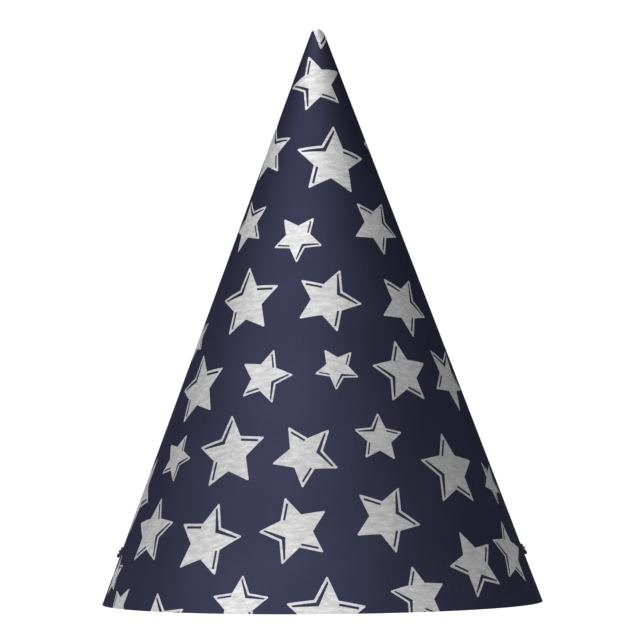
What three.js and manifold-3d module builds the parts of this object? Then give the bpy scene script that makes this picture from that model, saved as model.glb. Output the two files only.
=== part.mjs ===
// A cone party hat in millimetres. It stands on its rim with +Z up and its front towards -Y.
//
// One printed sheet of card is rolled into a cone. Its two straight edges overlap down the back, and a
// strip of double-sided tape between them holds them together. The rolled point stays slightly open.
// The chin elastic passes through a hole on each side and is knotted outside. While the hat stands on a
// table, the elastic lies loose on the table inside the rim.
//
// Azimuth is measured around the hat in degrees: 0 at the front, 90 at +X, 180 at the back.

import * as THREE from 'three';
import { mergeVertices } from 'three/addons/utils/BufferGeometryUtils.js';
import Module from 'manifold-3d';

const wasm = await Module();
wasm.setup();

// Driving dimensions of the cone.
const RIM_DIAMETER = 133;
const POINT_HEIGHT = 177.3; // where the rolled sides would meet in a sharp point
const TIP_DIAMETER = 3; // across the blunt rolled tip
const CARD_THICKNESS = 0.4;

// The seam: 4 facets of overlap, with the tape in the 2 middle ones.
const FACET_DEGREES = 3;
const OVERLAP_DEGREES = 4 * FACET_DEGREES;
const SETTLE_DEGREES = 60; // how far round the inner edge takes to ease back out to the full radius
const TAPE_THICKNESS = 0.12;
const TAPE_CLEARANCE = 0.12;
const TAPE_BOTTOM = 5;
const TAPE_TOP = 140;

// The chin elastic, its holes and its knots.
const HOLE_AZIMUTH = 101;
const HOLE_HEIGHT = 15.3;
const HOLE_DIAMETER = 1.8;
const ELASTIC_DIAMETER = 1.1;
const ELASTIC_STEPS = 80;
const KNOT_RADIUS = 1.1;
const KNOT_HALF_LENGTH = 1.5;
const TOUCH_GAP = 0.3; // kept between pieces that bear on each other

// The elastic's middle line, as [radius, azimuth, height]. It comes in through one hole, drops to the
// table, wanders round inside the front of the rim and climbs to the other hole.
const ON_TABLE = 0.65;
const ELASTIC_ROUTE = [
  [60.7, -101, 15.3],
  [57.9, -101, 14.4],
  [55.3, -100.5, 12.6],
  [53.6, -99.5, 9.6],
  [53, -97.5, 5.9],
  [54, -93.5, 2.5],
  [56.5, -88, 0.9],
  [58.5, -80, ON_TABLE],
  [56, -72, ON_TABLE],
  [49, -67, ON_TABLE],
  [40.5, -63, ON_TABLE],
  [36, -54, ON_TABLE],
  [41, -44.5, ON_TABLE],
  [50.5, -41, ON_TABLE],
  [57.5, -33, ON_TABLE],
  [53.5, -24, ON_TABLE],
  [44, -20.5, ON_TABLE],
  [37, -11.5, ON_TABLE],
  [41.5, -1.5, ON_TABLE],
  [51, 1.5, ON_TABLE],
  [58, 9.5, ON_TABLE],
  [54, 18.5, ON_TABLE],
  [44.5, 21.5, ON_TABLE],
  [36.5, 30.5, ON_TABLE],
  [40, 41.5, ON_TABLE],
  [49.5, 45, ON_TABLE],
  [57, 53, ON_TABLE],
  [55, 62.5, ON_TABLE],
  [47, 67, ON_TABLE],
  [40, 74, ON_TABLE],
  [40.5, 84, ON_TABLE],
  [45, 91.5, 1.4],
  [49.5, 96.5, 4.7],
  [52.5, 99, 8.4],
  [54.7, 100.3, 11.8],
  [57.7, 101, 14.3],
  [60.7, 101, 15.3],
];

// Worked out from the dimensions above.
const RIM_RADIUS = RIM_DIAMETER / 2;
const HAT_HEIGHT = POINT_HEIGHT * (1 - TIP_DIAMETER / RIM_DIAMETER);
const SIDE_ANGLE = Math.atan2(RIM_RADIUS, POINT_HEIGHT); // between the side and the upright axis
const CARD_RADIAL = CARD_THICKNESS / Math.cos(SIDE_ANGLE);
const TAPE_INSET = CARD_RADIAL + TAPE_CLEARANCE;
const LAYER_STEP = TAPE_INSET + TAPE_THICKNESS + TAPE_CLEARANCE;
const INNER_EDGE = -180 - OVERLAP_DEGREES / 2;
const OUTER_EDGE = 180 + OVERLAP_DEGREES / 2;

const { degToRad, lerp, smoothstep } = THREE.MathUtils;

const PRINTED_CARD = new THREE.MeshStandardMaterial({ color: 0x33334f, roughness: 0.55, metalness: 0 });
const CLEAR_TAPE = new THREE.MeshStandardMaterial({ color: 0xe6e2d2, roughness: 0.3, metalness: 0 });
const NAVY_ELASTIC = new THREE.MeshStandardMaterial({ color: 0x1e1e30, roughness: 0.85, metalness: 0 });

function polar(radius, azimuth, height) {
  const angle = degToRad(azimuth);
  return new THREE.Vector3(radius * Math.sin(angle), -radius * Math.cos(angle), height);
}

function sideRadius(height) {
  return RIM_RADIUS * (1 - height / POINT_HEIGHT);
}

// A frame on the outside of the card: X runs level to the right, Y up the slope and Z straight out.
function frameOnSide(azimuth, height) {
  const angle = degToRad(azimuth);
  const across = new THREE.Vector3(Math.cos(angle), Math.sin(angle), 0);
  const upSlope = polar(-Math.sin(SIDE_ANGLE), azimuth, Math.cos(SIDE_ANGLE));
  const outward = new THREE.Vector3().crossVectors(across, upSlope);
  const frame = new THREE.Matrix4().makeBasis(across, upSlope, outward);
  return frame.setPosition(polar(sideRadius(height), azimuth, height));
}

// A flat strip rolled round the axis. insetAt gives how far in from the side its outer face lies.
function rolledStrip({ fromAzimuth, toAzimuth, bottom, top, thickness, insetAt }) {
  const facets = Math.round((toAzimuth - fromAzimuth) / FACET_DEGREES);
  const strip = new THREE.BoxGeometry(1, 1, 1, facets, 1, 1);
  const position = strip.attributes.position;
  for (let i = 0; i < position.count; i += 1) {
    const azimuth = lerp(fromAzimuth, toAzimuth, position.getX(i) + 0.5);
    const height = lerp(bottom, top, position.getY(i) + 0.5);
    const inset = insetAt(azimuth) + thickness * (0.5 - position.getZ(i));
    const point = polar(sideRadius(height) - inset, azimuth, height);
    position.setXYZ(i, point.x, point.y, point.z);
  }
  return strip;
}

function weld(geometry) {
  const bare = geometry.clone();
  bare.deleteAttribute('normal');
  bare.deleteAttribute('uv');
  bare.clearGroups();
  return mergeVertices(bare);
}

function toSolid(geometry) {
  const welded = weld(geometry);
  const vertProperties = new Float32Array(welded.attributes.position.array);
  const triVerts = new Uint32Array(welded.index.array);
  return new wasm.Manifold(new wasm.Mesh({ numProp: 3, vertProperties, triVerts }));
}

function fromSolid(solid) {
  const { vertProperties, triVerts } = solid.getMesh();
  const geometry = new THREE.BufferGeometry();
  geometry.setAttribute('position', new THREE.BufferAttribute(vertProperties, 3));
  geometry.setIndex(new THREE.BufferAttribute(triVerts, 1));
  geometry.computeVertexNormals();
  return geometry;
}

function namedMesh(name, geometry, material) {
  const mesh = new THREE.Mesh(geometry, material);
  mesh.name = name;
  return mesh;
}

// The inner edge lies one layer step in from the side, and the card eases out to meet the side again.
function cardInset(azimuth) {
  const pastOverlap = azimuth - (INNER_EDGE + OVERLAP_DEGREES);
  return LAYER_STEP * (1 - smoothstep(pastOverlap, 0, SETTLE_DEGREES));
}

function makeCardCone() {
  const sheet = rolledStrip({
    fromAzimuth: INNER_EDGE,
    toAzimuth: OUTER_EDGE,
    bottom: 0,
    top: HAT_HEIGHT,
    thickness: CARD_RADIAL,
    insetAt: cardInset,
  });
  let card = toSolid(sheet);
  for (const azimuth of [-HOLE_AZIMUTH, HOLE_AZIMUTH]) {
    const punch = new THREE.CylinderGeometry(HOLE_DIAMETER / 2, HOLE_DIAMETER / 2, 4, 16);
    punch.rotateX(Math.PI / 2);
    punch.applyMatrix4(frameOnSide(azimuth, HOLE_HEIGHT));
    card = card.subtract(toSolid(punch));
  }
  return namedMesh('card_cone', fromSolid(card), PRINTED_CARD);
}

function makeSeamTape() {
  const tape = rolledStrip({
    fromAzimuth: INNER_EDGE + FACET_DEGREES,
    toAzimuth: INNER_EDGE + OVERLAP_DEGREES - FACET_DEGREES,
    bottom: TAPE_BOTTOM,
    top: TAPE_TOP,
    thickness: TAPE_THICKNESS,
    insetAt: () => TAPE_INSET,
  });
  return namedMesh('seam_tape', tape, CLEAR_TAPE);
}

function makeElasticCord() {
  const points = ELASTIC_ROUTE.map(([radius, azimuth, height]) => polar(radius, azimuth, height));
  const section = new THREE.Shape();
  section.absarc(0, 0, ELASTIC_DIAMETER / 2, 0, 2 * Math.PI);
  const cord = new THREE.ExtrudeGeometry(section, {
    steps: ELASTIC_STEPS,
    curveSegments: 4,
    bevelEnabled: false,
    extrudePath: new THREE.CatmullRomCurve3(points, false, 'centripetal'),
  });
  return namedMesh('elastic_cord', cord, NAVY_ELASTIC);
}

// A tight knot of two lobes, one above the other up the slope, outside the hole that it can't pass.
function makeKnot(name, azimuth) {
  const outline = new THREE.SplineCurve([
    new THREE.Vector2(0, -KNOT_HALF_LENGTH),
    new THREE.Vector2(0.8 * KNOT_RADIUS, -0.8 * KNOT_HALF_LENGTH),
    new THREE.Vector2(KNOT_RADIUS, -0.4 * KNOT_HALF_LENGTH),
    new THREE.Vector2(0.85 * KNOT_RADIUS, 0),
    new THREE.Vector2(KNOT_RADIUS, 0.4 * KNOT_HALF_LENGTH),
    new THREE.Vector2(0.8 * KNOT_RADIUS, 0.8 * KNOT_HALF_LENGTH),
    new THREE.Vector2(0, KNOT_HALF_LENGTH),
  ]);
  const lobes = new THREE.LatheGeometry(outline.getPoints(18), 16);
  const knot = namedMesh(name, lobes, NAVY_ELASTIC);
  const clearOfCard = new THREE.Matrix4().makeTranslation(0, 0, TOUCH_GAP + KNOT_RADIUS);
  knot.applyMatrix4(frameOnSide(azimuth, HOLE_HEIGHT).multiply(clearOfCard));
  return knot;
}

const hat = new THREE.Group();
hat.add(makeCardCone());
hat.add(makeSeamTape());
hat.add(makeElasticCord());
hat.add(makeKnot('knot_left', -HOLE_AZIMUTH));
hat.add(makeKnot('knot_right', HOLE_AZIMUTH));

export default hat;
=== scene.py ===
# The looks of a cone party hat: a printed card sheet rolled into a cone, the tape in its back seam, and
# a braided chin elastic that is knotted outside two punched holes. Dimensions are in millimetres, and the
# meshes are made in metres. Azimuth is in degrees round the hat: 0 at the front, 90 at +X.

import math

import bpy
import numpy as np
from mathutils import Matrix, Vector
from mathutils.geometry import delaunay_2d_cdt
from mathutils.kdtree import KDTree


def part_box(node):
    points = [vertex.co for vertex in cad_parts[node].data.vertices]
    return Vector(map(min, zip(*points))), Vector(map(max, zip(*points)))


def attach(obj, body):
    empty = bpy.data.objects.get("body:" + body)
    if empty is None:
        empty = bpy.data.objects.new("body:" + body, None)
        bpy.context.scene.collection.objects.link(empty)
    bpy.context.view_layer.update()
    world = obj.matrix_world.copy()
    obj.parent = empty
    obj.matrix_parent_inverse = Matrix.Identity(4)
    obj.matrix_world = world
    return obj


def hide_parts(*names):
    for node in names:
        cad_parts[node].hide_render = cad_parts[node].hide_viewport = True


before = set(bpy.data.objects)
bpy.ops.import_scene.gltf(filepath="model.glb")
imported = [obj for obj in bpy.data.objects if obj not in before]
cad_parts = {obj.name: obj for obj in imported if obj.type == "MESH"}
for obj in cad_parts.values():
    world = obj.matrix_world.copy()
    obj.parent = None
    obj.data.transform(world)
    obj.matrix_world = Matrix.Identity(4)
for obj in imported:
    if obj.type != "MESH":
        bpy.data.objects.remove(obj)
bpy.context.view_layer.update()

MM = 0.001

# The cone, from the frame.
TIP_DIAMETER = 3.0
CARD_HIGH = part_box("card_cone")[1]
RIM_RADIUS = CARD_HIGH.x / MM
HAT_HEIGHT = CARD_HIGH.z / MM
POINT_HEIGHT = HAT_HEIGHT / (1 - TIP_DIAMETER / (2 * RIM_RADIUS))
SIDE_ANGLE = math.atan2(RIM_RADIUS, POINT_HEIGHT)
SLANT = math.hypot(RIM_RADIUS, POINT_HEIGHT)

# The card and its seam.
CARD_THICKNESS = 0.4 / math.cos(SIDE_ANGLE)  # measured level, not square to the slope
SEAM_GAP = 0.16
HALF_OVERLAP = 6.0
SETTLE_DEGREES = 60.0
HOLE_AZIMUTH = 101.0
HOLE_HEIGHT = 15.3
HOLE_RADIUS = 0.9
OVALITY = 0.1  # how far the rim is out of round
RIPPLE = 0.05
RIPPLE_LENGTH = 25.0  # millimetres of height for each radian of the ripple

# The tape in the seam.
TAPE_THICKNESS = 0.1
TAPE_BOTTOM = 5
TAPE_TOP = 140
TAPE_HALF_DEGREES = 3.0
TAPE_WANDER_DEGREES = 0.12
TAPE_WANDER_LENGTH = 9.0  # millimetres of slant for each radian of the wander
TAPE_ROWS = 60
TAPE_COLUMNS = 9

# How high the rolled tip reaches, as (azimuth, height): it was never cut quite square.
TIP_EDGE = [
    (-190, 172.2),
    (-130, 172.0),
    (-90, 172.5),
    (-55, 172.7),
    (-15, 172.8),
    (5, 173.3),
    (30, 173.0),
    (60, 172.2),
    (90, 171.5),
    (130, 171.8),
    (190, 172.3),
]

# The printed stars on the flat sheet. Each is (millimetres across from the front's centre line,
# millimetres down from the cone's point, millimetres from its middle to its tips, and the way that its
# outlined notch faces, in degrees anticlockwise from across).
STARS = [
    (2, 1.3, 10, 12),
    (-0.5, 22, 9.5, 213),
    (26.5, 35, 10, 305),
    (-18, 40.5, 9.5, 48),
    (4, 47, 11.5, 123),
    (-25.5, 62.5, 9, 59),
    (19, 65.5, 9.5, 33),
    (-6.5, 71.5, 8, 303),
    (-23.5, 89, 11.5, 124),
    (28.5, 89, 10.5, 33),
    (-50.5, 91, 7.5, 56),
    (2.5, 91.5, 10.5, 33),
    (48, 106.5, 11, 112),
    (-43, 111.5, 11.5, 125),
    (26, 112, 10.5, 212),
    (5, 113, 7, 303),
    (-17, 114.5, 9, 322),
    (-51.5, 132, 8, 306),
    (-77, 133, 13, 215),
    (17.5, 134, 8, 129),
    (66.5, 135, 7.5, 34),
    (-28.5, 136.5, 12, 123),
    (43, 139.5, 12, 213),
    (-4.5, 140, 10.5, 12),
    (-60.5, 153.5, 11, 323),
    (-85, 158, 7, 39),
    (70, 158, 10.5, 212),
    (19.5, 159, 11, 33),
    (-36, 163, 12, 33),
    (-8, 163.5, 11, 213),
    (50.5, 168, 11, 304),
    (-76, 174, 8.5, 217),
    (29.5, 182, 9.5, 213),
    (-25, 185, 9.5, 46),
    (-54.5, 186.5, 11.5, 54),
    (1, 190, 12.5, 124),
]
PRINT_REPEAT = 185.0  # the print repeats after this many degrees round the hat
STAR_ROOM = 0.95  # how near two stars of a repeat may come, in shares of their radii together

# How bright the silver is at each distance down the slope, as (share of the slant length from the point,
# level).
SILVER_LEVEL_BY_SLANT = [(0.0, 1.0), (0.3, 1.0), (0.55, 0.88), (0.77, 0.75), (0.9, 0.83), (1.0, 0.91)]

# One star, in shares of the radius to its tips.
NOTCH_RADIUS = 0.49
CHEVRON_MARGIN = 0.065
CHEVRON_WIDTH_AT_NOTCH = 0.105
CHEVRON_WIDTH_AT_TIP = 0.05
CHEVRON_REACH = 0.83  # share of the edge from notch to tip
CHEVRON_END_SLANT = 0.06  # its inner side stops this much sooner
STROKE_MARGIN = 0.065
STROKE_WIDTH = 0.062
STROKE_START = 0.04
STROKE_END = 0.75
TIP_CUT = 0.45  # millimetres of each edge lost where a tip is printed blunt

# How fine the sheet's mesh is.
EDGE_STEP = 1.2
RIM_STEP_DEGREES = 1.0
TIP_STEP_DEGREES = 6.0
HOLE_SIDES = 24
GRID_DEGREES = 2.0
GRID_STEP = 5.0
GRID_START = 8.0  # slant distance of the first row from the point
GRID_CLEARANCE = 0.45  # kept between grid points and the outlines
COARSE_SLANT = 40  # nearer the point than this, the grid's points are further apart in degrees
COARSE_FACTOR = 3
WELD_DISTANCE = 1e-5
SLIVER_AREA = 1e-9  # triangles smaller than this are left out

# The card's material slots after its navy and silver print, which are 0 and 1.
BACK_SLOT = 2
CUT_EDGE_SLOT = 3

# The elastic: the same middle line as the CAD cord's, as [radius, azimuth, height].
ELASTIC_DIAMETER = 1.1
ON_TABLE = 0.65
ELASTIC_ROUTE = [
    [60.7, -101, 15.3],
    [57.9, -101, 14.4],
    [55.3, -100.5, 12.6],
    [53.6, -99.5, 9.6],
    [53, -97.5, 5.9],
    [54, -93.5, 2.5],
    [56.5, -88, 0.9],
    [58.5, -80, ON_TABLE],
    [56, -72, ON_TABLE],
    [49, -67, ON_TABLE],
    [40.5, -63, ON_TABLE],
    [36, -54, ON_TABLE],
    [41, -44.5, ON_TABLE],
    [50.5, -41, ON_TABLE],
    [57.5, -33, ON_TABLE],
    [53.5, -24, ON_TABLE],
    [44, -20.5, ON_TABLE],
    [37, -11.5, ON_TABLE],
    [41.5, -1.5, ON_TABLE],
    [51, 1.5, ON_TABLE],
    [58, 9.5, ON_TABLE],
    [54, 18.5, ON_TABLE],
    [44.5, 21.5, ON_TABLE],
    [36.5, 30.5, ON_TABLE],
    [40, 41.5, ON_TABLE],
    [49.5, 45, ON_TABLE],
    [57, 53, ON_TABLE],
    [55, 62.5, ON_TABLE],
    [47, 67, ON_TABLE],
    [40, 74, ON_TABLE],
    [40.5, 84, ON_TABLE],
    [45, 91.5, 1.4],
    [49.5, 96.5, 4.7],
    [52.5, 99, 8.4],
    [54.7, 100.3, 11.8],
    [57.7, 101, 14.3],
    [60.7, 101, 15.3],
]
ELASTIC_POINTS_PER_SPAN = 24

# The elastic's braid.
BRAID_STRANDS = 4
BRAID_PITCH = 3.2  # in cord diameters
BRAID_DEPTH = 0.1  # share of the cord's radius
BRAID_REPEATS = 8  # of the thread texture, round the cord
END_BLUNTNESS = 0.45  # 0 is a half ball and 1 a flat cut
CORD_SIDES = 16
CORD_STEP = 0.22

# The knots, where the elastic is drawn down thin and wrapped on itself.
KNOT_STRAND = 0.95
KNOT_WRAP_RADIUS = 0.58
KNOT_FIRST_TURN = 0.15  # where the wraps begin, in turns
KNOT_TURNS = 1.9
KNOT_POINTS_PER_TURN = 8
KNOT_POINTS_PER_SPAN = 12
KNOT_STEP = 0.08
KNOT_PITCH = 1.0
KNOT_STAND_OFF = 1.05
KNOT_DROP = 0.35
TAIL_LENGTH = 0.9
TAIL_LEAN = (-0.75, -0.75, 0.1)  # across, up the slope and out, in tail lengths
TAIL_SAG = (0, -0.25, -0.15)  # added at its end
TAIL_MIDDLE = 0.45  # where the bend in the tail is, as a share of its length


# ---- Geometry of the cone ----


def polar(radius, azimuth, height):
    angle = math.radians(azimuth)
    return np.array([radius * math.sin(angle), -radius * math.cos(angle), height])


def smoothstep(x, low, high):
    t = np.clip((x - low) / (high - low), 0, 1)
    return t * t * (3 - 2 * t)


def flat_to_azimuth(across, down):
    """Azimuth and slant distance from the point, for a place on the flat sheet."""
    slant = np.hypot(across, down)
    azimuth = np.degrees(np.arctan2(across, down)) / math.sin(SIDE_ANGLE)
    return azimuth, slant


def azimuth_to_flat(azimuth, slant):
    fan = np.radians(azimuth) * math.sin(SIDE_ANGLE)
    return slant * np.sin(fan), slant * np.cos(fan)


def slant_at(height):
    return (POINT_HEIGHT - height) / math.cos(SIDE_ANGLE)


def rolled(azimuth, slant, inset):
    """Points on the rolled sheet, inset level towards the axis, with the small unevenness of real card."""
    angle = np.radians(azimuth)
    radius = slant * math.sin(SIDE_ANGLE)
    height = POINT_HEIGHT - slant * math.cos(SIDE_ANGLE)
    unevenness = OVALITY * np.sin(2 * angle)
    unevenness = unevenness + RIPPLE * np.cos(3 * angle) * np.sin(height / RIPPLE_LENGTH)
    radius = radius + unevenness * radius / RIM_RADIUS - inset
    return np.stack([radius * np.sin(angle), -radius * np.cos(angle), height], axis=-1)


def layer_inset(azimuth):
    """The sheet's inner edge lies one layer in at the seam, and eases back out to the full radius."""
    past_overlap = azimuth - (HALF_OVERLAP - 180)
    return (CARD_THICKNESS + SEAM_GAP) * (1 - smoothstep(past_overlap, 0, SETTLE_DEGREES))


def outward_normals(azimuth, slant):
    step = 0.01
    turned = rolled(azimuth + step, slant, layer_inset(azimuth + step))
    back = rolled(azimuth - step, slant, layer_inset(azimuth - step))
    inset = layer_inset(azimuth)
    across = turned - back
    down = rolled(azimuth, slant + step, inset) - rolled(azimuth, slant - step, inset)
    normals = np.cross(down, across)
    return normals / np.linalg.norm(normals, axis=1, keepdims=True)


# ---- The printed sheet, drawn flat ----


def anticlockwise(corners):
    """The outline's corners in the order that the triangulation needs."""
    x, y = np.array(corners).T
    twice_area = x @ np.roll(y, -1) - y @ np.roll(x, -1)
    return corners if twice_area > 0 else corners[::-1]


def subdivided(corners, step=EDGE_STEP):
    """A closed outline with no side longer than step."""
    points = []
    corners = anticlockwise(corners)
    for start, end in zip(corners, corners[1:] + corners[:1]):
        start, end = np.array(start, float), np.array(end, float)
        pieces = max(1, math.ceil(np.linalg.norm(end - start) / step))
        for i in range(pieces):
            points.append(start + (end - start) * i / pieces)
    return points


def ray(direction, length):
    angle = math.radians(direction)
    return np.array([math.cos(angle), math.sin(angle)]) * length


def star_edge(turn, notch, tip, radius):
    """Notch corner, unit vector to the tip, the edge's length, and the unit vector into the star."""
    corner = ray(turn + notch, NOTCH_RADIUS * radius)
    end = ray(turn + tip, radius)
    length = np.linalg.norm(end - corner)
    along = (end - corner) / length
    inward = np.array([-along[1], along[0]])
    if inward @ corner > 0:
        inward = -inward
    return corner, along, length, inward


def star_outline(radius, turn):
    corners = []
    for k in range(5):
        notch = ray(turn + 72 * k, NOTCH_RADIUS * radius)
        tip = ray(turn + 72 * k + 36, radius)
        next_notch = ray(turn + 72 * k + 72, NOTCH_RADIUS * radius)
        corners.append(notch)
        for side in (notch, next_notch):
            corners.append(tip + (side - tip) * TIP_CUT / np.linalg.norm(side - tip))
    return corners


def chevron(radius, turn):
    """The dark line inside the star that follows both edges of the notch it faces."""
    margin = CHEVRON_MARGIN * radius
    wide = margin + CHEVRON_WIDTH_AT_NOTCH * radius
    narrow = margin + CHEVRON_WIDTH_AT_TIP * radius
    corner, along, length, inward = star_edge(turn, 0, 36, radius)
    _, other_along, _, other_inward = star_edge(turn, 0, -36, radius)
    across_notch = abs(along @ ray(turn + 90, 1))
    outer = corner - ray(turn, margin / across_notch)
    inner = corner - ray(turn, wide / across_notch)
    reach = CHEVRON_REACH * length
    inner_reach = (CHEVRON_REACH - CHEVRON_END_SLANT) * length
    return [
        corner + along * reach + inward * margin,
        corner + along * inner_reach + inward * narrow,
        inner,
        corner + other_along * inner_reach + other_inward * narrow,
        corner + other_along * reach + other_inward * margin,
        outer,
    ]


def side_stroke(radius, turn, side):
    """The short dark line along the notch-facing edge of a neighbouring tip."""
    corner, along, length, inward = star_edge(turn, 72 * side, 108 * side, radius)
    near = STROKE_MARGIN * radius
    far = near + STROKE_WIDTH * radius
    start, end = STROKE_START * length, STROKE_END * length
    return [
        corner + along * start + inward * near,
        corner + along * end + inward * near,
        corner + along * end + inward * far,
        corner + along * start + inward * far,
    ]


def placed(corners, across, down, fan):
    """Moves an outline to its place on the sheet, then turns it round the point by fan radians."""
    cos, sin = math.cos(fan), math.sin(fan)
    moved = []
    for x, y in corners:
        x, y = x + across, y - down
        moved.append((x * cos - y * sin, x * sin + y * cos))
    return moved


def printed_stars():
    """(outline, dark lines) of every star: those listed, then their repeats where there is room."""
    centres, stars = [], []
    for repeat in (0, -1, 1):
        fan = math.radians(repeat * PRINT_REPEAT) * math.sin(SIDE_ANGLE)
        for across, down, radius, turn in STARS:
            centre = np.array(placed([(0, 0)], across, down, fan)[0])
            azimuth, slant = flat_to_azimuth(centre[0], -centre[1])
            reach = math.degrees(radius / slant) / math.sin(SIDE_ANGLE)
            taken = any(
                np.linalg.norm(centre - other) < STAR_ROOM * (radius + size) for other, size in centres
            )
            if repeat and (taken or abs(azimuth) > 180 + HALF_OVERLAP + reach):
                continue
            centres.append((centre, radius))
            shapes = [star_outline(radius, turn), chevron(radius, turn)]
            shapes += [side_stroke(radius, turn, side) for side in (-1, 1)]
            shapes = [placed(shape, across, down, fan) for shape in shapes]
            stars.append((shapes[0], shapes[1:]))
    return stars


def sheet_outline():
    edge = 180 + HALF_OVERLAP
    heights = np.array(TIP_EDGE, float)
    points = []
    for azimuth in np.arange(-edge, edge, RIM_STEP_DEGREES):
        points.append(azimuth_to_flat(azimuth, SLANT))
    tip_azimuths = np.arange(edge, -edge - 0.1, -TIP_STEP_DEGREES)
    tip_slants = slant_at(np.interp(tip_azimuths, heights[:, 0], heights[:, 1]))
    for slant in np.arange(SLANT, tip_slants[0], -GRID_STEP):
        points.append(azimuth_to_flat(edge, slant))
    for azimuth, slant in zip(tip_azimuths, tip_slants):
        points.append(azimuth_to_flat(azimuth, slant))
    for slant in np.arange(tip_slants[-1] + GRID_STEP, SLANT, GRID_STEP):
        points.append(azimuth_to_flat(-edge, slant))
    return [(x, -down) for x, down in points]


def punched_hole(azimuth):
    across, down = azimuth_to_flat(azimuth, slant_at(HOLE_HEIGHT))
    circle = [ray(step * 360 / HOLE_SIDES, HOLE_RADIUS) for step in range(HOLE_SIDES)]
    return [(across + x, -down + y) for x, y in circle]


def grid_points(taken):
    """Points that keep the sheet's triangles small, left out where an outline already has one."""
    tree = KDTree(len(taken))
    for i, (x, y) in enumerate(taken):
        tree.insert((x, y, 0), i)
    tree.balance()
    points = []
    edge = 180 + HALF_OVERLAP
    for row, slant in enumerate(np.arange(GRID_START, SLANT - 1, GRID_STEP)):
        shift = 0.5 * GRID_DEGREES * (row % 2)
        spacing = GRID_DEGREES * (COARSE_FACTOR if slant < COARSE_SLANT else 1)
        for azimuth in np.arange(-edge + spacing + shift, edge - spacing / 2, spacing):
            across, down = azimuth_to_flat(azimuth, slant)
            if tree.find((across, -down, 0))[2] > GRID_CLEARANCE:
                points.append((across, -down))
    return points


def triangulated_sheet():
    """Flat points, triangles, and whether each triangle is silver print."""
    outlines = [(sheet_outline(), "card")]
    for side in (-1, 1):
        outlines.append((punched_hole(side * HOLE_AZIMUTH), "hole"))
    for outline, dark_lines in printed_stars():
        outlines.append((subdivided(outline), "star"))
        for line in dark_lines:
            outlines.append((subdivided(line), "line"))
    points, faces, kinds = [], [], []
    for outline, kind in outlines:
        faces.append(list(range(len(points), len(points) + len(outline))))
        points.extend(tuple(p) for p in outline)
        kinds.append(kind)
    points.extend(grid_points(points))
    vectors = [Vector(p) for p in points]
    made_points, _, made_triangles, _, _, made_from = delaunay_2d_cdt(
        vectors, [], faces, 1, WELD_DISTANCE
    )
    flat = np.array([tuple(v) for v in made_points])
    triangles, silver = [], []
    for triangle, sources in zip(made_triangles, made_from):
        inside = {kinds[s] for s in sources}
        if "card" not in inside or "hole" in inside:
            continue
        a, b, c = (flat[i] for i in triangle)
        area = (b[0] - a[0]) * (c[1] - a[1]) - (b[1] - a[1]) * (c[0] - a[0])
        if abs(area) < SLIVER_AREA:
            continue
        triangles.append(triangle if area > 0 else triangle[::-1])
        silver.append("star" in inside and "line" not in inside)
    return flat, np.array(triangles), np.array(silver)


# ---- Meshes ----


def new_object(name, vertices, faces, materials, slots=None, smooth=True):
    mesh = bpy.data.meshes.new(name)
    mesh.from_pydata([tuple(v) for v in vertices], [], [tuple(int(i) for i in f) for f in faces])
    for material in materials:
        mesh.materials.append(material)
    if slots is not None:
        mesh.polygons.foreach_set("material_index", np.array(slots, np.int32))
    mesh.polygons.foreach_set("use_smooth", np.full(len(mesh.polygons), smooth))
    piece = bpy.data.objects.new(name, mesh)
    bpy.context.scene.collection.objects.link(piece)
    return piece


def set_uv(piece, name, by_vertex):
    layer = piece.data.uv_layers.new(name=name)
    loops = np.zeros(len(piece.data.loops), np.int32)
    piece.data.loops.foreach_get("vertex_index", loops)
    layer.data.foreach_set("uv", by_vertex[loops].astype(np.float32).ravel())


def open_edges(triangles):
    """Edges that belong to one triangle only, in that triangle's direction."""
    pairs = np.concatenate([triangles[:, [0, 1]], triangles[:, [1, 2]], triangles[:, [2, 0]]])
    edges = dict.fromkeys(map(tuple, pairs.tolist()))
    return [(a, b) for a, b in edges if (b, a) not in edges]


def make_card(materials):
    flat, triangles, silver = triangulated_sheet()
    used = np.unique(triangles)
    renumber = np.full(len(flat), -1)
    renumber[used] = np.arange(len(used))
    flat, triangles = flat[used], renumber[triangles]
    azimuth, slant = flat_to_azimuth(flat[:, 0], -flat[:, 1])
    outer = rolled(azimuth, slant, layer_inset(azimuth))
    inner = rolled(azimuth, slant, layer_inset(azimuth) + CARD_THICKNESS)
    normals = outward_normals(azimuth, slant)
    count = len(flat)
    cut = [(b, a, a + count, b + count) for a, b in open_edges(triangles)]
    faces = triangles.tolist() + (triangles[:, ::-1] + count).tolist() + cut
    slots = silver.astype(int).tolist() + [BACK_SLOT] * len(triangles) + [CUT_EDGE_SLOT] * len(cut)
    vertices = np.concatenate([outer, inner]) * MM
    card = new_object("card_sheet", vertices, faces, materials, slots)
    set_uv(card, "flat", np.concatenate([flat, flat]) / SLANT)
    mesh = card.data
    corner_normals = []
    for polygon in mesh.polygons:
        for vertex in polygon.vertices:
            if polygon.material_index == CUT_EDGE_SLOT:
                corner_normals.append(tuple(polygon.normal))
            elif polygon.material_index == BACK_SLOT:
                corner_normals.append(tuple(-normals[vertex - count]))
            else:
                corner_normals.append(tuple(normals[vertex]))
    mesh.normals_split_custom_set(corner_normals)
    return card


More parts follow.
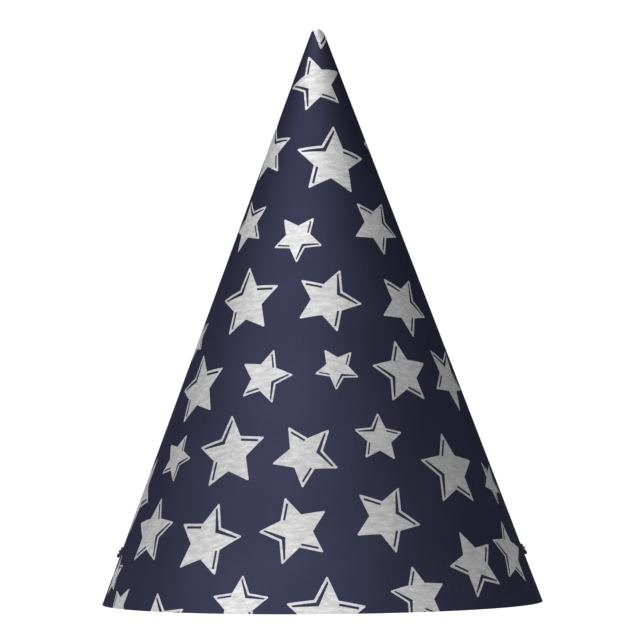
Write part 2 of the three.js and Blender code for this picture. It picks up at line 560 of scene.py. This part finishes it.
def catmull_rom(points, per_span):
    """A centripetal curve through the points."""
    points = [2 * points[0] - points[1], *points, 2 * points[-1] - points[-2]]
    path = []
    for p0, p1, p2, p3 in zip(points, points[1:], points[2:], points[3:]):
        t1 = np.linalg.norm(p1 - p0) ** 0.5
        t2 = t1 + np.linalg.norm(p2 - p1) ** 0.5
        t3 = t2 + np.linalg.norm(p3 - p2) ** 0.5
        for t in np.linspace(t1, t2, per_span, endpoint=False):
            a1 = (t1 - t) / t1 * p0 + t / t1 * p1
            a2 = (t2 - t) / (t2 - t1) * p1 + (t - t1) / (t2 - t1) * p2
            a3 = (t3 - t) / (t3 - t2) * p2 + (t - t2) / (t3 - t2) * p3
            b1 = (t2 - t) / t2 * a1 + t / t2 * a2
            b2 = (t3 - t) / (t3 - t1) * a2 + (t - t1) / (t3 - t1) * a3
            path.append((t2 - t) / (t2 - t1) * b1 + (t - t1) / (t2 - t1) * b2)
    path.append(points[-2])
    return np.array(path)


def even_steps(path, step):
    """The same path in steps of one length."""
    lengths = np.concatenate([[0], np.cumsum(np.linalg.norm(np.diff(path, axis=0), axis=1))])
    count = max(2, round(lengths[-1] / step)) + 1
    wanted = np.linspace(0, lengths[-1], count)
    return np.stack([np.interp(wanted, lengths, path[:, k]) for k in range(3)], axis=1), wanted


def braided_tube(name, path, diameter, material, step=CORD_STEP, sides=CORD_SIDES):
    """A braided cord along the path: two sets of strands cross round it, and its ends are rounded off."""
    centres, along = even_steps(path, step)
    tangents = np.gradient(centres, axis=0)
    tangents /= np.linalg.norm(tangents, axis=1, keepdims=True)
    side = np.cross(tangents[0], [0.3, 0.2, 1.0])
    side /= np.linalg.norm(side)
    angles = np.arange(sides) * 2 * math.pi / sides
    half_strands = BRAID_STRANDS / 2
    pitch = BRAID_PITCH * diameter
    vertices, uvs = [], []
    for i, (centre, tangent) in enumerate(zip(centres, tangents)):
        side = side - (side @ tangent) * tangent
        side /= np.linalg.norm(side)
        up = np.cross(tangent, side)
        wave = 2 * math.pi * along[i] / pitch * half_strands
        left = np.abs(np.sin(half_strands * angles + wave))
        right = np.abs(np.sin(half_strands * angles - wave))
        from_end = min(along[i], along[-1] - along[i]) / (0.5 * diameter)
        rounding = math.sqrt(max(0.0, 1 - (1 - min(1.0, from_end + END_BLUNTNESS)) ** 2))
        braid = 1 - BRAID_DEPTH + BRAID_DEPTH * np.maximum(left, right)
        radius = 0.5 * diameter * rounding * braid
        for angle, r in zip(angles, radius):
            vertices.append(centre + r * (math.cos(angle) * side + math.sin(angle) * up))
            uvs.append((angle / (2 * math.pi) * BRAID_REPEATS, along[i] / diameter))
    rings = len(centres)
    faces = []
    for i in range(rings - 1):
        for k in range(sides):
            a, b = i * sides + k, i * sides + (k + 1) % sides
            faces.append((a, b, b + sides, a + sides))
    vertices += [centres[0], centres[-1]]
    uvs += [(0, 0), (0, along[-1] / diameter)]
    first, last = rings * sides, rings * sides + 1
    for k in range(sides):
        faces.append((first, (k + 1) % sides, k))
        faces.append((last, (rings - 1) * sides + k, (rings - 1) * sides + (k + 1) % sides))
    piece = new_object(name, np.array(vertices) * MM, faces, [material])
    set_uv(piece, "braid", np.array(uvs))
    return piece


def side_frame(azimuth, height):
    """Across, up the slope and straight out, with the point on the card's outside, as columns."""
    angle = math.radians(azimuth)
    across = np.array([math.cos(angle), math.sin(angle), 0])
    up_slope = polar(-math.sin(SIDE_ANGLE), azimuth, math.cos(SIDE_ANGLE))
    outward = np.cross(across, up_slope)
    slant = slant_at(height)
    origin = rolled(np.array([azimuth]), np.array([slant]), layer_inset(np.array([azimuth])))[0]
    return np.stack([across, up_slope, outward], axis=1), origin


def knot_path(handed):
    """A wrapped stopper knot: out of the hole, up its middle, round and round it, and off into a tail."""
    stand_off = KNOT_STAND_OFF
    top = 0.5 * KNOT_TURNS * KNOT_PITCH - KNOT_DROP
    points = [
        (0, 0, -0.1),
        (0, 0.1, 0.5 * stand_off),
        (0, 0.5 * top, stand_off),
        (0, top + 0.1, stand_off),
    ]
    for turn in np.arange(KNOT_FIRST_TURN, KNOT_TURNS + 0.01, 1 / KNOT_POINTS_PER_TURN):
        angle = 2 * math.pi * turn
        across = handed * KNOT_WRAP_RADIUS * math.sin(angle)
        outward = stand_off + KNOT_WRAP_RADIUS * math.cos(angle)
        points.append((across, top - KNOT_PITCH * turn, outward))
    last = np.array(points[-1])
    tail = np.array(TAIL_LEAN) * (handed, 1, 1)
    points.append(tuple(last + TAIL_MIDDLE * TAIL_LENGTH * tail))
    points.append(tuple(last + TAIL_LENGTH * (tail + TAIL_SAG)))
    return np.array(points, float)


def make_knot(name, azimuth, material):
    axes, origin = side_frame(azimuth, HOLE_HEIGHT)
    local = catmull_rom(knot_path(handed=math.copysign(1, azimuth)), KNOT_POINTS_PER_SPAN)
    path = local @ axes.T + origin
    return braided_tube(name, path, KNOT_STRAND, material, step=KNOT_STEP)


def make_tape(material):
    """The strip between the card's two layers, with slightly wavering edges."""
    rows = np.linspace(slant_at(TAPE_TOP), slant_at(TAPE_BOTTOM), TAPE_ROWS)
    columns = np.linspace(-1, 1, TAPE_COLUMNS)
    inset = CARD_THICKNESS + 0.5 * (SEAM_GAP - TAPE_THICKNESS)
    outer, inner = [], []
    for slant in rows:
        wander = TAPE_WANDER_DEGREES * math.sin(slant / TAPE_WANDER_LENGTH)
        for column in columns:
            azimuth = np.array([180 + TAPE_HALF_DEGREES * column + wander])
            outer.append(rolled(azimuth, np.array([slant]), inset)[0])
            inner.append(rolled(azimuth, np.array([slant]), inset + TAPE_THICKNESS)[0])
    count = len(outer)
    top = []
    for i in range(TAPE_ROWS - 1):
        for k in range(TAPE_COLUMNS - 1):
            a = i * TAPE_COLUMNS + k
            b = a + TAPE_COLUMNS
            top.append((a, b, b + 1, a + 1))
    triangles = np.array([(a, b, c) for a, b, c, _ in top] + [(a, c, d) for a, _, c, d in top])
    rim = [(b, a, a + count, b + count) for a, b in open_edges(triangles)]
    faces = top + [tuple(i + count for i in reversed(face)) for face in top] + rim
    return new_object("tape_strip", np.array(outer + inner) * MM, faces, [material], smooth=False)


# ---- Materials ----

# The Mix node's colour sockets, by number because its sockets of other types have the same names.
MIX_FIRST_COLOUR = 6
MIX_SECOND_COLOUR = 7
MIX_COLOUR = 2


def shader(name, **sockets):
    """A new material with a Principled shader, and its node tree."""
    material = bpy.data.materials.new(name)
    material.use_nodes = True
    tree = material.node_tree
    principled = tree.nodes["Principled BSDF"]
    for socket, value in sockets.items():
        principled.inputs[socket.replace("_", " ")].default_value = value
    return material, tree, principled


def uv_source(tree, layer):
    node = tree.nodes.new("ShaderNodeUVMap")
    node.uv_map = layer
    return node.outputs["UV"]


def noise(tree, source, scale, detail=3.0, roughness=0.5, stretch=None):
    if stretch is not None:
        mapping = tree.nodes.new("ShaderNodeMapping")
        mapping.inputs["Rotation"].default_value = (0, 0, math.radians(stretch[0]))
        mapping.inputs["Scale"].default_value = (1, stretch[1], 1)
        tree.links.new(source, mapping.inputs["Vector"])
        source = mapping.outputs["Vector"]
    node = tree.nodes.new("ShaderNodeTexNoise")
    node.inputs["Scale"].default_value = scale
    node.inputs["Detail"].default_value = detail
    node.inputs["Roughness"].default_value = roughness
    tree.links.new(source, node.inputs["Vector"])
    return node.outputs["Fac"]


def ramp(tree, factor, low, high, from_value=0.35, to_value=0.65):
    node = tree.nodes.new("ShaderNodeValToRGB")
    node.color_ramp.elements[0].position = from_value
    node.color_ramp.elements[0].color = low
    node.color_ramp.elements[1].position = to_value
    node.color_ramp.elements[1].color = high
    tree.links.new(factor, node.inputs["Fac"])
    return node.outputs["Color"]


def stops(tree, factor, levels):
    """A grey that goes through the (position, level) pairs in turn."""
    node = tree.nodes.new("ShaderNodeValToRGB")
    elements = node.color_ramp.elements
    for i, (position, level) in enumerate(levels):
        element = elements[i] if i < 2 else elements.new(position)
        element.position = position
        element.color = (level, level, level, 1)
    tree.links.new(factor, node.inputs["Fac"])
    return node.outputs["Color"]


def multiplied(tree, first, second):
    """The product of two colours."""
    node = tree.nodes.new("ShaderNodeMix")
    node.data_type = "RGBA"
    node.blend_type = "MULTIPLY"
    node.inputs["Factor"].default_value = 1.0
    tree.links.new(first, node.inputs[MIX_FIRST_COLOUR])
    tree.links.new(second, node.inputs[MIX_SECOND_COLOUR])
    return node.outputs[MIX_COLOUR]


def ranged(tree, factor, low, high):
    node = tree.nodes.new("ShaderNodeMapRange")
    node.inputs["To Min"].default_value = low
    node.inputs["To Max"].default_value = high
    tree.links.new(factor, node.inputs["Value"])
    return node.outputs["Result"]


def bump(tree, height, distance, strength=1.0, under=None):
    node = tree.nodes.new("ShaderNodeBump")
    node.inputs["Distance"].default_value = distance
    node.inputs["Strength"].default_value = strength
    tree.links.new(height, node.inputs["Height"])
    if under is not None:
        tree.links.new(under, node.inputs["Normal"])
    return node.outputs["Normal"]


def navy_print():
    material, tree, principled = shader(
        "navy_print", Metallic=0.75, Specular_Tint=(0.15, 0.15, 0.25, 1.0)
    )
    flat = uv_source(tree, "flat")
    clouds = noise(tree, flat, 9.0, 2.0)
    fibres = noise(tree, flat, 260.0, 3.0, stretch=(25, 3.0))
    base = ramp(tree, clouds, (0.04, 0.041, 0.077, 1), (0.046, 0.047, 0.087, 1))
    speckle = ramp(tree, fibres, (0.8, 0.8, 0.83, 1), (1, 1, 1, 1))
    tree.links.new(multiplied(tree, base, speckle), principled.inputs["Base Color"])
    tree.links.new(ranged(tree, fibres, 0.56, 0.68), principled.inputs["Roughness"])
    tree.links.new(bump(tree, fibres, 0.00002, 0.5), principled.inputs["Normal"])
    return material


def silver_print():
    """Printed foil: crumpled, grainy, and a little darker two thirds of the way down."""
    material, tree, principled = shader(
        "silver_print", Metallic=0.74, Specular_Tint=(0.2, 0.2, 0.2, 1.0)
    )
    flat = uv_source(tree, "flat")
    crumple = noise(tree, flat, 50.0, 6.0, 0.7, stretch=(-32, 3.0))
    grain = noise(tree, flat, 300.0, 3.0, 0.7)
    base = ramp(tree, crumple, (0.61, 0.61, 0.607, 1), (0.87, 0.87, 0.866, 1))
    sparkle = ramp(tree, grain, (0.86, 0.86, 0.865, 1), (1, 1, 1, 1))
    from_point = tree.nodes.new("ShaderNodeVectorMath")
    from_point.operation = "LENGTH"
    tree.links.new(flat, from_point.inputs[0])
    # The silver's colour is scaled by its distance down the slope, darkest about two thirds of the way
    # down.
    level_by_slant = stops(tree, from_point.outputs["Value"], SILVER_LEVEL_BY_SLANT)
    base = multiplied(tree, multiplied(tree, base, sparkle), level_by_slant)
    tree.links.new(base, principled.inputs["Base Color"])
    tree.links.new(ranged(tree, grain, 0.6, 0.74), principled.inputs["Roughness"])
    creases = bump(tree, crumple, 0.00009, 0.9)
    tree.links.new(bump(tree, grain, 0.00002, 0.5, creases), principled.inputs["Normal"])
    return material


def bare_card(name, low, high, rough):
    """Uncoated card, with fibres, a little unevenness and a few darker flecks."""
    material, tree, principled = shader(name)
    flat = uv_source(tree, "flat")
    fibres = noise(tree, flat, 150.0, 4.0, 0.6, stretch=(70, 4.0))
    clouds = noise(tree, flat, 14.0, 2.0)
    base = ramp(tree, clouds, low, high)
    threads = ramp(tree, fibres, (0.88, 0.87, 0.84, 1), (1, 1, 1, 1), 0.3, 0.55)
    tree.links.new(multiplied(tree, base, threads), principled.inputs["Base Color"])
    tree.links.new(ranged(tree, fibres, rough - 0.06, rough + 0.06), principled.inputs["Roughness"])
    tree.links.new(bump(tree, fibres, 0.00004, 0.6), principled.inputs["Normal"])
    return material


def elastic_fabric():
    material, tree, principled = shader("elastic_fabric", Sheen_Weight=0.25)
    braid = uv_source(tree, "braid")
    threads = noise(tree, braid, 6.0, 3.0, stretch=(45, 3.0))
    base = ramp(tree, threads, (0.006, 0.006, 0.013, 1), (0.016, 0.016, 0.032, 1))
    tree.links.new(base, principled.inputs["Base Color"])
    tree.links.new(ranged(tree, threads, 0.72, 0.92), principled.inputs["Roughness"])
    tree.links.new(bump(tree, threads, 0.00003, 0.8), principled.inputs["Normal"])
    return material


def clear_tape():
    material, tree, principled = shader("clear_tape", Coat_Weight=0.4)
    source = tree.nodes.new("ShaderNodeTexCoord").outputs["Object"]
    bubbles = noise(tree, source, 900.0, 3.0)
    base = ramp(tree, bubbles, (0.68, 0.65, 0.54, 1), (0.8, 0.77, 0.67, 1))
    tree.links.new(base, principled.inputs["Base Color"])
    tree.links.new(ranged(tree, bubbles, 0.25, 0.4), principled.inputs["Roughness"])
    tree.links.new(bump(tree, bubbles, 0.00002, 0.5), principled.inputs["Normal"])
    return material


def glowing_floor():
    material, tree, principled = shader("glowing_floor", Roughness=0.9, Specular_IOR_Level=0.1)
    # The floor glows with painted light: its emission fills in the hat's shadow on it and also lights the
    # hat from below.
    principled.inputs["Emission Color"].default_value = (1, 1, 1, 1)
    principled.inputs["Emission Strength"].default_value = 0.78
    source = tree.nodes.new("ShaderNodeTexCoord").outputs["Object"]
    base = ramp(tree, noise(tree, source, 3.0), (0.42, 0.42, 0.42, 1), (0.44, 0.44, 0.44, 1))
    tree.links.new(base, principled.inputs["Base Color"])
    return material


# ---- The camera, floor and light ----

CAMERA_DISTANCE = 2.0
CAMERA_HEIGHT = 0.1038
CAMERA_ACROSS = 0.0006
CAMERA_PITCH = -0.546
CAMERA_ROLL = -0.5
CAMERA_LENS = 370.3
CAMERA_SENSOR = 36

FLOOR_RADIUS = 0.6
FLOOR_SIDES = 120


def make_camera():
    data = bpy.data.cameras.new("camera")
    data.lens = CAMERA_LENS
    data.sensor_width = CAMERA_SENSOR
    data.clip_end = 1000
    camera = bpy.data.objects.new("camera", data)
    level = Matrix.Rotation(math.radians(90 + CAMERA_PITCH), 4, "X")
    roll = Matrix.Rotation(math.radians(CAMERA_ROLL), 4, "Z")
    place = Matrix.Translation((CAMERA_ACROSS, -CAMERA_DISTANCE, CAMERA_HEIGHT))
    camera.matrix_world = place @ level @ roll
    bpy.context.scene.collection.objects.link(camera)
    bpy.context.scene.camera = camera


def make_sun(name, azimuth, elevation, strength, spread):
    data = bpy.data.lights.new(name, "SUN")
    data.energy = strength
    data.angle = math.radians(spread)
    lamp = bpy.data.objects.new(name, data)
    level, up = ray(elevation, 1)
    towards = Vector(polar(level, azimuth, up))
    lamp.rotation_euler = towards.to_track_quat("Z", "Y").to_euler()
    bpy.context.scene.collection.objects.link(lamp)


def make_world(seen, ambient):
    """Plain white where the camera sees it, and a dimmer even light on the hat."""
    world = bpy.data.worlds.new("studio")
    bpy.context.scene.world = world
    world.use_nodes = True
    tree = world.node_tree
    background = tree.nodes["Background"]
    path = tree.nodes.new("ShaderNodeLightPath")
    level = tree.nodes.new("ShaderNodeMapRange")
    level.inputs["To Min"].default_value = ambient
    level.inputs["To Max"].default_value = seen
    tree.links.new(path.outputs["Is Camera Ray"], level.inputs["Value"])
    tree.links.new(level.outputs["Result"], background.inputs["Strength"])
    background.inputs["Color"].default_value = (1, 1, 1, 1)


def make_stage():
    rim = [(*ray(360 / FLOOR_SIDES * step, FLOOR_RADIUS), 0) for step in range(FLOOR_SIDES)]
    floor = new_object("floor", rim, [range(FLOOR_SIDES)], [glowing_floor()], smooth=False)
    make_sun("key", azimuth=-36, elevation=44, strength=2.75, spread=88)
    make_sun("overhead", azimuth=0, elevation=88, strength=0.6, spread=70)
    make_world(seen=1.05, ambient=0.05)
    bpy.context.scene.view_settings.view_transform = "Standard"


# ---- The scene ----

make_camera()

elastic_material = elastic_fabric()
elastic_points = [polar(*point) for point in ELASTIC_ROUTE]
elastic_path = catmull_rom(elastic_points, ELASTIC_POINTS_PER_SPAN)
elastic = braided_tube("chin_elastic", elastic_path, ELASTIC_DIAMETER, elastic_material)
knots = []
for side, azimuth in (("left", -HOLE_AZIMUTH), ("right", HOLE_AZIMUTH)):
    knot = make_knot(f"stopper_knot_{side}", azimuth, elastic_material)
    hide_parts(f"knot_{side}")
    knots.append(knot)
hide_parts("elastic_cord")

white_back = bare_card("card_back", (0.62, 0.61, 0.58, 1), (0.68, 0.67, 0.64, 1), 0.85)
cut_edge = bare_card("card_edge", (0.5, 0.49, 0.48, 1), (0.6, 0.59, 0.57, 1), 0.9)
card = make_card([navy_print(), silver_print(), white_back, cut_edge])
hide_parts("card_cone")

tape = make_tape(clear_tape())
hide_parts("seam_tape")

for piece, slot in [
    (card, "printed_card"),
    (tape, "tape"),
    (elastic, "elastic"),
    (knots[0], "elastic"),
    (knots[1], "elastic"),
]:
    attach(piece, "root")

make_stage()
